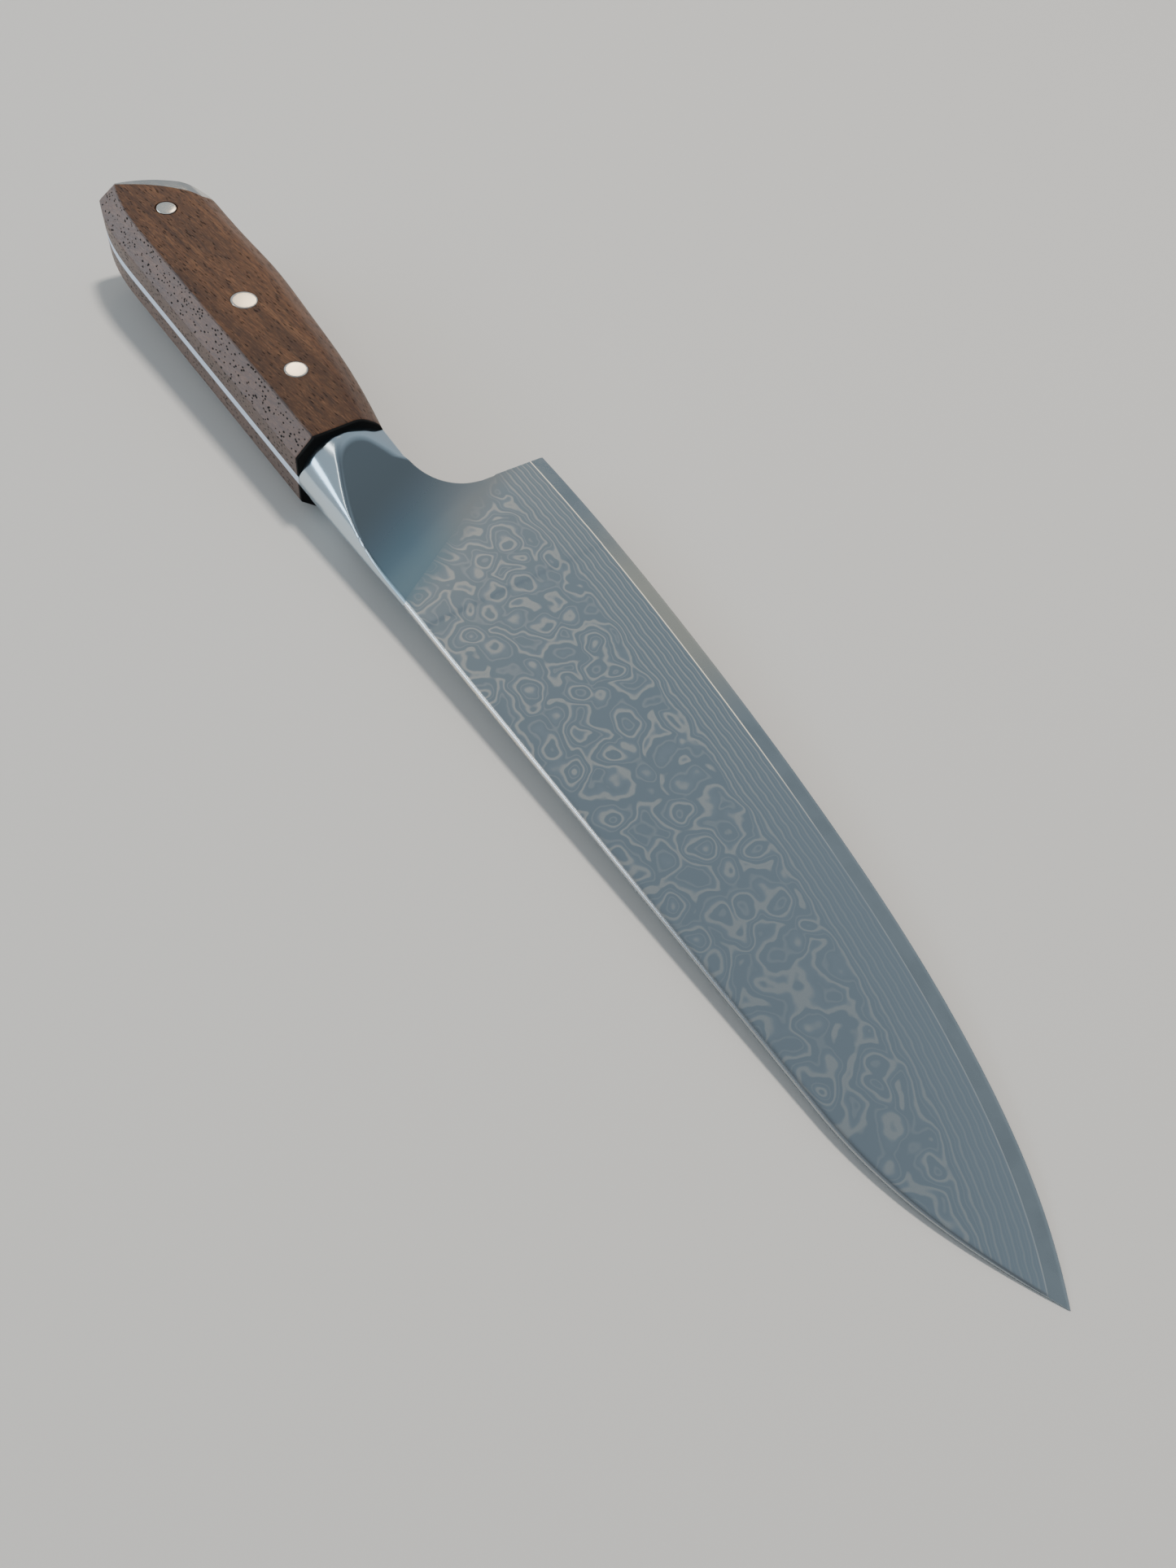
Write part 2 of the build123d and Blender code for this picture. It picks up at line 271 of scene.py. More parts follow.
def clean(obj, sharp=35.0):
    """Joins doubled points, turns faces outwards and marks the sharp edges."""
    mesh = obj.data
    work = bmesh.new()
    work.from_mesh(mesh)
    bmesh.ops.remove_doubles(work, verts=work.verts, dist=SAME_PLACE)
    bmesh.ops.dissolve_degenerate(work, edges=work.edges, dist=SAME_PLACE)
    bmesh.ops.recalc_face_normals(work, faces=work.faces)
    work.to_mesh(mesh)
    work.free()
    mesh.shade_smooth()
    mesh.set_sharp_from_angle(angle=radians(sharp))


def own_places(mesh):
    """The mesh's points in the knife's own frame."""
    spots = np.empty(len(mesh.vertices) * 3)
    mesh.vertices.foreach_get("co", spots)
    return unlaid(spots.reshape(-1, 3))


def finish_piece(obj, node, material):
    """Gives a piece its material and the coordinates its material uses, hangs it under the root body and
    hides the CAD part it stands for.
    """
    mesh = obj.data
    layer = mesh.attributes.new("own", "FLOAT_VECTOR", "POINT")
    layer.data.foreach_set("vector", own_places(mesh).ravel())
    mesh.materials.clear()
    mesh.materials.append(material)
    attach(obj, "root")
    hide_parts(node)


def cut(obj, cutter):
    """Takes a closed cutter out of obj."""
    step = obj.modifiers.new("cut", "BOOLEAN")
    step.operation = "DIFFERENCE"
    step.solver = "EXACT"
    step.object = cutter
    bpy.context.view_layer.objects.active = obj
    bpy.ops.object.modifier_apply(modifier=step.name)
    bpy.data.objects.remove(cutter, do_unlink=True)


def disc_ring(place, radius, z, count=96):
    a = np.linspace(0, 2 * pi, count, endpoint=False)
    return np.stack([place[0] + radius * np.cos(a), place[1] + radius * np.sin(a), a * 0 + z], 1)


# ---- steel: one height function for blade, neck and bolster ----------------------

COLUMNS = 420  # along the blade
edge_x = np.linspace(0, BLADE_LENGTH, COLUMNS)
edge_curve = np.stack([edge_x, edge_y(edge_x)], 1)
run = np.gradient(edge_curve, axis=0)
run /= np.linalg.norm(run, axis=1)[:, None]
bare_line = edge_curve + CORE_WIDTH * np.stack([run[:, 1], -run[:, 0]], 1)
honed_line = edge_curve + BEVEL_WIDTH * np.stack([run[:, 1], -run[:, 0]], 1)


def inset(x, y):
    """Distance from the cutting edge, in mm: the nearest sample, then a few Newton steps."""
    spots_x, spots_y = x.ravel(), y.ravel()
    samples = edge_curve[::6]
    foot = np.empty(len(spots_x))
    batch, nudge = 8000, 0.01
    for k in range(0, len(spots_x), batch):
        part = slice(k, k + batch)
        gap = (spots_x[part, None] - samples[:, 0]) ** 2 + (spots_y[part, None] - samples[:, 1]) ** 2
        foot[part] = samples[gap.argmin(1), 0]
    for _ in range(6):
        here = edge_y(foot)
        slope = (edge_y(foot + nudge) - here) / nudge
        foot = foot + ((spots_x - foot) + (spots_y - here) * slope) / (1 + slope**2)
        foot = np.clip(foot, 0, BLADE_LENGTH)
    return np.hypot(spots_x - foot, spots_y - edge_y(foot)).reshape(x.shape)


def bare_y(x):
    """Where the cladding ends and the bare core begins."""
    return np.maximum(np.interp(x, bare_line[:, 0], bare_line[:, 1]), spine_y(x))


def honed_y(x):
    return np.maximum(np.interp(x, honed_line[:, 0], honed_line[:, 1]), spine_y(x))


def ground_height(x, y):
    """Half thickness of the clad blade."""
    foot = np.interp(x, bare_line[:, 0], bare_line[:, 1])
    crown = GRIND_TOP * np.maximum(0, (x - GRIND_START) / GRIND_RUN)
    share = np.clip((foot - y) / (foot - crown), 0, 1)
    return CORE_HALF + (SPINE_HALF - CORE_HALF) * share**GRIND_POWER


def plane_height(corners, x, y):
    """Height of the plane through three corners."""
    a, b, c = [np.array(corner, float) for corner in corners]
    n = np.cross(b - a, c - a)
    return a[2] - (n[0] * (x - a[0]) + n[1] * (y - a[1])) / n[2]


def steel_height(x, y, facets_only=False):
    """Half thickness of the steel ahead of the bolster's shoulder."""
    lower = plane_height([SPINE_CORNER, CREASE_HEAD, FACETS_END], x, y)
    upper = plane_height([CREASE_HEAD, FLAT_CORNER, FACETS_END], x, y)
    lift_start, lift = BELLY_LIFT
    belly = plane_height(BELLY_CORNERS, x, y) + lift * np.clip(x - lift_start, 0, 50)
    reach = SCOOP_START - (x * cos(SCOOP_TURN) + y * sin(SCOOP_TURN))
    reach = np.clip(reach, 0, SCOOP_LIMIT)
    scoop = SPINE_HALF - SCOOP_DROP - SCOOP_LEAN * y + SCOOP_RADIUS - np.sqrt(SCOOP_RADIUS**2 - reach**2)
    # Edges are rounder towards the shoulder and crisp where the blade begins.
    soft = np.interp(x, [SHOULDER, -14, -6, 6], [2.5, 2.1, 1.0, 0.3])
    shape = low(lower, upper, soft)
    shape = low(shape, BOLSTER_HALF + 0 * x, 0.7 * soft)
    shape = low(shape, belly, 0.8 * soft)
    if facets_only:
        return shape, scoop
    shape = low(shape, scoop, np.interp(x, [SHOULDER, -12, 0], [1.4, 0.7, 0.3]))
    blade = ground_height(x, y)
    return np.where(x > BLADE_ONLY, blade, high(blade, shape, 0.3))


ROUND_STEPS = 6
quarter = np.linspace(0, pi / 2, ROUND_STEPS)


def rounding(radius):
    """Distances from an edge and drops there, for a rounded corner."""
    return radius * (1 - np.cos(quarter)), radius * (1 - np.sin(quarter))


def blade_start(y):
    """Where the blade begins: the weld, then the heel."""
    weld = WELD_TOP[0] + (WELD_FOOT[0] - WELD_TOP[0]) * y / WELD_FOOT[1]
    heel = CHOIL_FOOT[0] + (y - CHOIL_FOOT[1]) * HEEL_LEAN
    return np.where(y < WELD_FOOT[1], weld, heel)


def towards_tip(columns):
    """Shares of the way along the blade, a little closer together near the tip."""
    return 1 - (1 - np.linspace(0, 1, columns)[:, None]) ** 1.15


SPINE_ROUND = 1.0


def blade_grid(columns, rows, foot, end, radius):
    """Places on the blade between the spine and a lower line, and the drop near the spine."""
    gap, fall = rounding(radius)
    near = np.concatenate([gap, np.zeros(rows)])
    drop = np.concatenate([fall / radius, np.zeros(rows)])
    near[ROUND_STEPS:] = radius
    share = np.concatenate([np.zeros(ROUND_STEPS), np.linspace(0, 1, rows + 1)[1:]])
    start = np.full(len(near), 10.0)
    for _ in range(SETTLE_STEPS):
        top, bottom = spine_y(start), foot(start)
        y0 = top + near + share * (bottom - top - near)
        start = blade_start(y0)
    x = start[None, :] + towards_tip(columns) * (end - start[None, :])
    top, bottom = spine_y(x), foot(x)
    squeeze = np.clip((bottom - top) / (2 * radius), 0, 1)
    y = top + near * squeeze + share * (bottom - top - near * squeeze)
    return x, y, drop * squeeze


def end_of_cladding():
    """Where the bare line meets the spine, near the tip."""
    x = np.linspace(190, BLADE_LENGTH, 4000)
    gap = np.interp(x, bare_line[:, 0], bare_line[:, 1]) - spine_y(x)
    return x[np.argmax(gap <= 0)]


CLAD_END = end_of_cladding()
CLAD_LIP = 0.03  # what's left of the cladding's thickness at the spine's rounded edge


# ---- blade ----------------------------------------------------------------------


def build_core():
    """The hard core: its middle layer, the bare strip by the edge and the honed edge."""
    x, y, drop = blade_grid(COLUMNS, 26, bare_y, BLADE_LENGTH, 0.12)

    def strip(upper, lower, rows):
        share = np.linspace(0, 1, rows + 1)[1:]
        start = np.zeros(rows)
        for _ in range(SETTLE_STEPS):
            start = blade_start(upper(start) + share * (lower(start) - upper(start)))
        sx = start[None, :] + towards_tip(COLUMNS) * (BLADE_LENGTH - start[None, :])
        return sx, upper(sx) + share * (lower(sx) - upper(sx))

    bare = strip(bare_y, honed_y, 10)
    honed = strip(honed_y, lambda v: np.maximum(edge_y(v), spine_y(v)), 4)
    x = np.concatenate([x, bare[0], honed[0]], 1)
    y = np.concatenate([y, bare[1], honed[1]], 1)
    drop = np.concatenate([drop, np.zeros_like(bare[0]), np.zeros_like(honed[0])], 1)
    d = inset(x, y)
    flank = np.clip((d - BEVEL_WIDTH) / (CORE_WIDTH - BEVEL_WIDTH), 0, 1)
    half = np.where(
        d < BEVEL_WIDTH,
        BEVEL_HALF * d / BEVEL_WIDTH,
        BEVEL_HALF + (CORE_HALF - BEVEL_HALF) * flank**0.95,
    )
    # The edge and the spine's rounded corner keep a little thickness.
    half = np.maximum(half, 0.004)
    half = np.maximum(half - 0.08 * drop, 0.003)
    obj = mesh_object("core_blade", *slab(x, y, half, -half))
    clean(obj, 40)
    return obj


def build_cladding(side, word):
    x, y, drop = blade_grid(COLUMNS, 64, bare_y, CLAD_END, SPINE_ROUND)
    full = steel_height(x, y)
    top = np.maximum(full - drop * (full - CORE_HALF - CLAD_LIP), CORE_HALF + 0.0005)
    bottom = np.full_like(top, CORE_HALF)
    obj = mesh_object("cladding_skin_" + word, *slab(x, y, side * top, side * bottom))
    clean(obj, 50)
    return obj


# ---- neck, bolster and tang -------------------------------------------------------


FIRST_WIDTH = 25.0  # the handle's rough width, where each search for a place in it starts


def choil_outline(count):
    """Belly, choil and heel of the neck, from the shoulder to the weld."""
    arc_start = (CHOIL_FOOT[0] - CHOIL_RADIUS, CHOIL_FOOT[1] - CHOIL_RADIUS)
    centre = (arc_start[0], CHOIL_FOOT[1])
    points = [(SHOULDER, BOLSTER_BELLY)]
    for a in np.linspace(-pi / 2, 0, 90):
        points.append((centre[0] + CHOIL_RADIUS * cos(a), centre[1] + CHOIL_RADIUS * sin(a)))
    points.append(WELD_FOOT)
    points = np.array(points)
    way = np.concatenate([[0], np.cumsum(np.linalg.norm(np.diff(points, axis=0), axis=1))])
    at = np.linspace(0, way[-1], count)
    return np.stack([np.interp(at, way, points[:, 0]), np.interp(at, way, points[:, 1])], 1)


def build_bolster():
    """The neck and bolster as one height field from spine to choil, and the tang behind."""
    columns, rows = 260, 130
    foot = choil_outline(columns)
    top_x = np.linspace(SHOULDER, WELD_TOP[0], columns)
    top = np.stack([top_x, spine_y(top_x)], 1)
    length = np.linalg.norm(foot - top, axis=1)
    gap, fall = rounding(SPINE_ROUND)
    fall = fall / SPINE_ROUND * (SPINE_HALF - CORE_HALF - CLAD_LIP)
    far_gap, far_fall = rounding(0.6)
    share = np.linspace(0, 1, rows)[1:-1]
    x = np.empty((columns, rows + 2 * ROUND_STEPS - 2))
    y = np.empty_like(x)
    drop = np.zeros_like(x)
    for k in range(columns):
        between_rounds = gap[-1] + share * (length[k] - gap[-1] - far_gap[-1])
        at = np.concatenate([gap, between_rounds, length[k] - far_gap[::-1]])
        step = (foot[k] - top[k]) / length[k]
        x[k] = top[k, 0] + at * step[0]
        y[k] = top[k, 1] + at * step[1]
        drop[k, :ROUND_STEPS] = fall
        drop[k, -ROUND_STEPS:] = far_fall[::-1]
    half = steel_height(x, y) - drop
    # The neck's last row runs on a little under the blade, so that the weld leaves no gap.
    edge_row, edge_half = x[-1:], half[-1:]
    for ahead, lower in ((0.02, 0.006), (0.3, 0.03)):
        x = np.concatenate([x, edge_row + ahead])
        y = np.concatenate([y, y[-1:]])
        half = np.concatenate([half, edge_half - lower])
    neck, faces = slab(x, y, half, -half)

    # The tang, flush with the scales round its outline.
    front = SHOULDER + 0.4  # a little inside the bolster
    share = np.linspace(0, 1, 24)[None, :]
    along = np.linspace(0, 1, 240)[:, None]
    ty = FIRST_WIDTH * share + 0 * along
    for _ in range(SETTLE_STEPS):
        tx = front + along * (seat_x(ty) - front)
        ty = spine_y(tx) + share * (belly_y(tx) - spine_y(tx))
    tang, tang_faces = slab(tx, ty, 0 * tx + TANG_HALF, 0 * tx - TANG_HALF)
    faces += [[i + len(neck) for i in face] for face in tang_faces]
    obj = mesh_object("bolster_and_tang", np.concatenate([neck, tang]), faces)
    clean(obj, 50)
    return obj


# ---- handle -----------------------------------------------------------------------


def rounded(points, radii, steps):
    """A polyline with its inner corners rounded."""
    result = [np.array(points[0], float)]
    for k in range(1, len(points) - 1):
        before, here, after = (np.array(points[i], float) for i in (k - 1, k, k + 1))
        a = (before - here) / np.linalg.norm(before - here)
        b = (after - here) / np.linalg.norm(after - here)
        turn = np.arccos(np.clip(-a @ b, -1, 1))
        radius = radii[k - 1]
        reach = radius * np.tan(turn / 2)
        centre = here + (a + b) / np.linalg.norm(a + b) * radius / np.cos(turn / 2)
        first, last = here + a * reach - centre, here + b * reach - centre
        for t in np.linspace(0, 1, steps):
            part = first * sin((1 - t) * turn) + last * sin(t * turn)
            result.append(centre + part / sin(turn))
    result.append(np.array(points[-1], float))
    return result


def outline(spine, belly, lowest):
    """Half of the handle's cross-section, always with the same number of points."""
    corners = [
        (spine, lowest),
        (spine, SPINE_BEVEL[1]),
        (spine + SPINE_BEVEL[0], HANDLE_HALF),
        (belly - BELLY_BEVEL[0], HANDLE_HALF),
        (belly, BELLY_BEVEL[1]),
        (belly, lowest),
    ]
    steps = 8
    rough = rounded(corners, CORNER_ROUNDS, steps)
    counts = [10]
    for straight in (12, 44, 4, 8):
        counts += [1] * (steps - 1) + [straight]
    result = []
    for a, b, n in zip(rough[:-1], rough[1:], counts):
        result += [a + (b - a) * t / n for t in range(n)]
    result.append(rough[-1])
    return np.array(result)


def profile(lowest):
    """The cross-section as (share of the belly line, offset, height) for each point."""
    width, more = 30, 10
    narrow, wide = outline(0, width, lowest), outline(0, width + more, lowest)
    share = (wide[:, 0] - narrow[:, 0]) / more
    return share, narrow[:, 0] - width * share, narrow[:, 1]


def on_walls(shape, station):
    """The cross-section's points in space, on the surface x = station(y, z)."""
    share, offset, z = shape
    y = offset + FIRST_WIDTH * share
    for _ in range(SETTLE_STEPS):
        x = station(y, z)
        y = (1 - share) * spine_y(x) + share * belly_y(x) + offset
    return station(y, z), y, z


DOME_AIM = 11.0  # points outside the dome move towards this height


def held_in_dome(y, z, station, middle):
    """Points moved towards the middle until they are inside the dome, by halving the gap."""
    near, far = np.zeros(len(y)), np.ones(len(y))
    for _ in range(40):
        t = (near + far) / 2
        ty, tz = middle[0] + (y - middle[0]) * t, middle[1] + (z - middle[1]) * t
        x = station(ty, tz)
        away = (x - DOME_CENTRE[0]) ** 2 + (ty - DOME_CENTRE[1]) ** 2 + tz**2
        inside = (away < DOME_RADIUS**2) | (x > DOME_CENTRE[0])
        near, far = np.where(inside, t, near), np.where(inside, far, t)
    t = np.where(far > 0.9999, 1.0, near)
    ty, tz = middle[0] + (y - middle[0]) * t, middle[1] + (z - middle[1]) * t
    return station(ty, tz), ty, tz


def between(share):
    """The station surface at a share of the way from the front of the scales to the seat."""
    return lambda y, z: HANDLE_FRONT + share * (seat_x(y) - HANDLE_FRONT)


def scale_ring(shape, station):
    _, y, z = on_walls(shape, station)
    return np.stack(held_in_dome(y, z, station, (DOME_AIM, TANG_HALF)), 1)


def turned(place, side, steps):
    """A turned piece on an axis across the handle, from (radius, height) steps."""
    return tube_of_rings([disc_ring(place, radius, side * height) for radius, height in steps])


def build_scale(side, word):
    """One scale, worn a little at its front edge, with its bores cut through it."""
    shape = profile(TANG_HALF)
    stations = np.concatenate([
        [0, 0.0012, 0.003, 0.006], np.linspace(0.01, 0.94, 150), np.linspace(0.945, 1, 30),
    ])
    rings = [scale_ring(shape, between(share)) for share in stations]
    for ring, wear in zip(rings, (0.12, 0.04)):
        away = ring - np.array([0, *HANDLE_MIDDLE])
        away[:, 0] = 0
        outer = ring[:, 2] > TANG_HALF + 0.3
        ring[outer] -= (away / np.linalg.norm(away, axis=1)[:, None] * wear)[outer]
    points, faces = tube_of_rings(rings)
    obj = mesh_object("scale_wood_" + word, points * [1, 1, side], faces)
    clean(obj, 28)
    bores = [(place, head / 2 + 0.06, RIVET_SEAT, tube / 2) for _, place, head, tube, _ in RIVETS]
    bores.append((PIN_PLACE, PIN_RADIUS + PIN_GROOVE[0], PIN_GROOVE[1], PIN_RADIUS))
    points, faces = [], []
    for place, wide, depth, narrow in bores:
        seat, above = HANDLE_HALF - depth, HANDLE_HALF + 2
        steps = [(narrow, 0.0), (narrow, seat), (wide, seat), (wide, above)]
        part, part_faces = turned(place, side, steps)
        faces += [[i + len(points) * len(part) for i in face] for face in part_faces]
        points.append(part)
    cutter = mesh_object("cutter", np.concatenate(points), faces)
    clean(cutter)
    cut(obj, cutter)
    clean(obj, 28)
    return obj


def build_spacer(side, word):
    """A thin plate with the scale's outline and small bevels round both faces."""
    shape = profile(TANG_HALF)
    rings = []
    back_bevel, front_bevel = HANDLE_FRONT + 0.08, SHOULDER - 0.1
    for x, shrink in ((HANDLE_FRONT, 0.05), (back_bevel, 0.0), (front_bevel, 0.0), (SHOULDER, 0.1)):
        _, y, z = on_walls(shape, lambda y, z: x + 0 * y)
        outer = z > TANG_HALF + 0.3
        away = np.stack([y - HANDLE_MIDDLE[0], z - HANDLE_MIDDLE[1]], 1)
        away /= np.linalg.norm(away, axis=1)[:, None]
        y, z = y - outer * shrink * away[:, 0], z - outer * shrink * away[:, 1]
        rings.append(np.stack([x + 0 * y, y, side * z], 1))
    obj = mesh_object("spacer_plate_" + word, *tube_of_rings(rings))
    clean(obj, 40)
    return obj


def dome_x(y, z):
    under = DOME_RADIUS**2 - (y - DOME_CENTRE[1]) ** 2 - z**2
    return DOME_CENTRE[0] - np.sqrt(np.maximum(under, 1.0))


CAP_LEAST = 0.03  # the cap's thickness where the dome would cut into its seat
CAP_ROUND = 0.3


def build_cap():
    """The cap, from its seat outwards: the seat, its wall, a rounded rim and the dome."""
    share, offset, z = profile(0.0)
    loop = [np.concatenate([part, part[-2:0:-1]]) for part in (share, offset)]
    loop.append(np.concatenate([z, -z[-2:0:-1]]))
    seat = lambda y, z: seat_x(y)
    _, y, z = on_walls(loop, seat)
    seat_rim = np.stack(held_in_dome(y, z, seat, (DOME_AIM, 0.0)), 1)
    bx, by, bz = on_walls(loop, dome_x)
    depth = seat_x(by) - bx
    thin = depth < CAP_LEAST
    dome_rim = np.stack([bx, by, bz], 1)
    dome_rim[thin] = seat_rim[thin] - [CAP_LEAST, 0, 0]
    depth = np.where(thin, CAP_LEAST, depth)
    middle = np.array([13.0, 0.0])
    rings = []
    for f in np.linspace(0.02, 1, 12)[:-1]:
        yz = middle + f * (seat_rim[:, 1:] - middle)
        rings.append(np.column_stack([seat_x(yz[:, 0]), yz]))
    rings.append(seat_rim)
    out = dome_rim[:, 1:] - middle
    reach = np.linalg.norm(out, axis=1)
    radius = np.minimum(CAP_ROUND, depth / 2)
    for angle in quarter:
        f = 1 - radius * (1 - np.cos(angle)) / reach
        yz = middle + f[:, None] * out
        x = np.where(thin, dome_rim[:, 0], dome_x(yz[:, 0], yz[:, 1])) + radius * (1 - np.sin(angle))
        rings.append(np.column_stack([x, yz]))
    start = 1 - radius / reach
    for g in np.linspace(0, 1, 26)[1:]:
        f = start * (1 - g) + 0.012 * g
        yz = middle + f[:, None] * out
        rings.append(np.column_stack([dome_x(yz[:, 0], yz[:, 1]), yz]))
    obj = mesh_object("butt_cap", *tube_of_rings(rings))
    clean(obj, 40)
    return obj


# ---- rivets -----------------------------------------------------------------------


def head_steps(radius, depth, proud):
    """A flush head: softly crowned, with a small bevel round its rim."""
    return [
        (radius * 0.15, HANDLE_HALF + proud),
        (radius * 0.5, HANDLE_HALF + proud * 0.97),
        (radius * 0.8, HANDLE_HALF + proud * 0.85),
        (radius - 0.14, HANDLE_HALF + proud * 0.6),
        (radius - 0.05, HANDLE_HALF + proud * 0.2 - 0.02),
        (radius - 0.01, HANDLE_HALF - 0.1),
        (radius - 0.01, HANDLE_HALF - depth),
    ]


def build_rivet_half(name, place, side, head, stem, reach, bore=0):
    seat = HANDLE_HALF - RIVET_SEAT
    steps = head_steps(head / 2, RIVET_SEAT, RIVET_PROUD)
    steps += [(stem / 2, seat), (stem / 2, -reach)]
    if bore:
        steps += [(bore / 2, -reach), (bore / 2, seat)]
    obj = mesh_object(name, *turned(place, side, steps))
    clean(obj, 30)
    return obj


def build_pin():
    upper = head_steps(PIN_RADIUS, PIN_GROOVE[1], PIN_PROUD)
    rings = [disc_ring(PIN_PLACE, r, z) for r, z in upper]
    rings += [disc_ring(PIN_PLACE, r, -z) for r, z in upper[::-1]]
    obj = mesh_object("rear_pin_rod", *tube_of_rings(rings))
    clean(obj, 30)
    return obj


# ---- materials --------------------------------------------------------------------


class Nodes:
    """Short ways to build a shader. Most calls add one node and return its output."""

    def __init__(self, name):
        self.material = bpy.data.materials.new(name)
        self.material.use_nodes = True
        self.tree = self.material.node_tree
        self.shader = self.tree.nodes["Principled BSDF"]

    def add(self, kind, **settings):
        node = self.tree.nodes.new(kind)
        for key, value in settings.items():
            setattr(node, key, value)
        return node

    def link(self, source, socket):
        """Links an output to a socket, or sets the socket to a value."""
        if hasattr(source, "is_output"):
            self.tree.links.new(source, socket)
        else:
            socket.default_value = source

    def own(self):
        """The knife's own coordinates, in mm."""
        return self.add("ShaderNodeAttribute", attribute_name="own").outputs["Vector"]

    def attribute(self, name):
        return self.add("ShaderNodeAttribute", attribute_name=name).outputs["Fac"]

    def math(self, operation, a, b=0.0):
        node = self.add("ShaderNodeMath", operation=operation)
        self.link(a, node.inputs[0])
        self.link(b, node.inputs[1])
        return node.outputs[0]

    def plus(self, a, b):
        return self.math("ADD", a, b)

    def minus(self, a, b):
        return self.math("SUBTRACT", a, b)

    def times(self, a, b):
        return self.math("MULTIPLY", a, b)

    def vector(self, operation, a, b):
        node = self.add("ShaderNodeVectorMath", operation=operation)
        self.link(a, node.inputs[0])
        self.link(b, node.inputs[1])
        return node.outputs[0]

    def stretched(self, place, factors):
        return self.vector("MULTIPLY", place, factors)

    def noise(self, place, scale, detail=2.0, rough=0.5, warp=0.0, colour=False):
        node = self.add("ShaderNodeTexNoise")
        self.link(place, node.inputs["Vector"])
        node.inputs["Scale"].default_value = scale
        node.inputs["Detail"].default_value = detail
        node.inputs["Roughness"].default_value = rough
        node.inputs["Distortion"].default_value = warp
        return node.outputs["Color" if colour else "Fac"]

    def cells(self, place, scale, smooth=None, random=1.0):
        """Distance to the nearest of scattered points."""
        node = self.add("ShaderNodeTexVoronoi", feature="SMOOTH_F1" if smooth else "F1")
        self.link(place, node.inputs["Vector"])
        node.inputs["Scale"].default_value = scale
        node.inputs["Randomness"].default_value = random
        if smooth:
            node.inputs["Smoothness"].default_value = smooth
        return node.outputs["Distance"]

    def ramp(self, value, stops):
        node = self.add("ShaderNodeValToRGB")
        self.link(value, node.inputs[0])
        parts = node.color_ramp.elements
        while len(parts) < len(stops):
            parts.new(0.5)
        for part, (place, colour) in zip(parts, stops):
            part.position = place
            part.color = (*colour, 1)
        return node.outputs[0]

    def range(self, value, a, b, c=0.0, d=1.0, smooth=True):
        """A value that goes from c to d while the given one goes from a to b."""
        node = self.add("ShaderNodeMapRange")
        node.interpolation_type = "SMOOTHSTEP" if smooth else "LINEAR"
        for v, socket in zip((value, a, b, c, d), node.inputs):
            self.link(v, socket)
        return node.outputs[0]

    def mix(self, share, a, b):
        node = self.add("ShaderNodeMix", data_type="RGBA")
        self.link(share, node.inputs[0])
        self.link(a if hasattr(a, "is_output") else (*a, 1), node.inputs[6])
        self.link(b if hasattr(b, "is_output") else (*b, 1), node.inputs[7])
        return node.outputs[2]

    def split(self, vector):
        node = self.add("ShaderNodeSeparateXYZ")
        self.link(vector, node.inputs[0])
        return node.outputs

    def join(self, x, y, z):
        node = self.add("ShaderNodeCombineXYZ")
        for value, socket in zip((x, y, z), node.inputs):
            self.link(value, socket)
        return node.outputs[0]

    def bump(self, height, strength, distance):
        node = self.add("ShaderNodeBump")
        self.link(height, node.inputs["Height"])
        node.inputs["Strength"].default_value = strength
        node.inputs["Distance"].default_value = distance
        self.link(node.outputs[0], self.shader.inputs["Normal"])

    def set(self, **values):
        for key, value in values.items():
            self.link(value, self.shader.inputs[key.replace("_", " ")])


GLINT_PLACE = 52.0  # along the blade, where the painted warm highlight on the bare strip is strongest
GRAIN = 0.05  # how much the grinding lines change the roughness


def brushed(name, colour, rough, across=(1.2, 0.05, 1.2), strength=0.06, glint=None):
    """Steel with fine grinding lines along one of the knife's own axes, and faint smears."""
    n = Nodes(name)
    own = n.own()
    lines = n.noise(n.stretched(own, across), 6.0, 3.0, 0.6)
    smear = n.noise(own, 0.12, 3.0, 0.55)
    darker, lighter = tuple(c * 0.94 for c in colour), tuple(min(1, c * 1.05) for c in colour)
    tone = n.mix(n.range(smear, 0.3, 0.7), darker, lighter)
    # A painted warm highlight, strongest at GLINT_PLACE and fading along the blade.
    if glint:
        away = n.math("ABSOLUTE", n.minus(n.split(own)[0], GLINT_PLACE))
        tone = n.mix(n.range(away, 6.0, 36.0, 0.75, 0.0), tone, glint)
    n.set(Base_Color=tone, Metallic=1.0)
    grain = n.times(lines, GRAIN if strength else 0.0)
    n.set(Roughness=n.plus(n.range(smear, 0.3, 0.75, rough - 0.03, rough + 0.05), grain))
    if strength:
        n.bump(lines, strength, 0.0001)
    return n.material


# The plain steel's blue towards the spine is a painted reflection.
RICASSO_BLUE_SHEEN = (0.25, 0.37, 0.45)
RICASSO_GREY = (0.4, 0.43, 0.45)
STEEL_BLUE = (0.44, 0.507, 0.56)
STEEL_DARK = (0.4, 0.467, 0.518)
STEEL_LIGHT = (0.73, 0.73, 0.7)
STEEL_FAINT = tuple((2 * a + b) / 3 for a, b in zip(STEEL_BLUE, STEEL_LIGHT))
SEAM_GOLD = (0.9, 0.8, 0.62)
# The spine's rounding: a painted highlight near the heel, painted shade towards the tip.
SPINE_PAINTED_HIGHLIGHT = (0.93, 0.94, 0.95)
SPINE_PAINTED_SHADE = (0.36, 0.38, 0.4)
# Painted shade in the bolster's hollow, painted highlight on its facets.
SCOOP_PAINTED_SHADE = (0.22, 0.255, 0.28)
FACET_PAINTED_HIGHLIGHT = (0.6, 0.71, 0.79)
TANG_STEEL_AND_SHEEN = (0.74, 0.83, 0.98)

LAYERS_SEEN = 7.4  # layers cut through between the rings and the bare strip
SEAM = 3.55  # distance from the edge of the bright seam along the cladding's end


